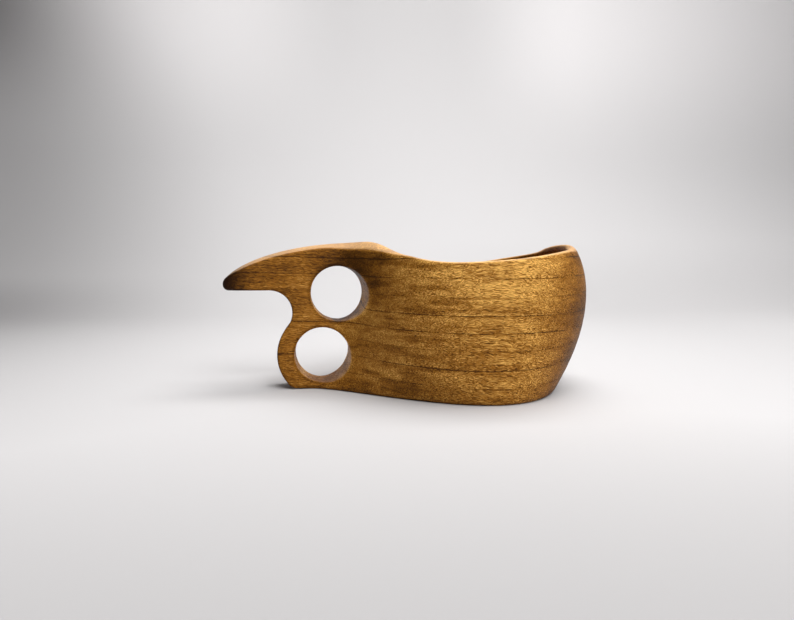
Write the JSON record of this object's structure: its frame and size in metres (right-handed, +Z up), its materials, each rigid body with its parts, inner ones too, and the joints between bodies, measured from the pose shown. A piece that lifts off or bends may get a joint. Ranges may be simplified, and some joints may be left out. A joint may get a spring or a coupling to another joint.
{
  "type": "carved wooden cup",
  "caption": "Carved one-piece wooden drinking cup: round bowl with a saddle rim, flat upright handle with thumb rest, finger holes and finger notch.",
  "frame": {"origin": "on the surface that the cup stands on, under the middle of the bowl", "axes": "+Z up, the handle points along -X, +Y is across the handle, and the cup is mirror-symmetric about the XZ plane"},
  "size_m": [0.1675, 0.108, 0.0665],
  "materials": {
    "walnut": "oiled and waxed, satin"
  },
  "bodies": {
    "root": {"cup_body": "walnut"}
  },
  "joints": []
}
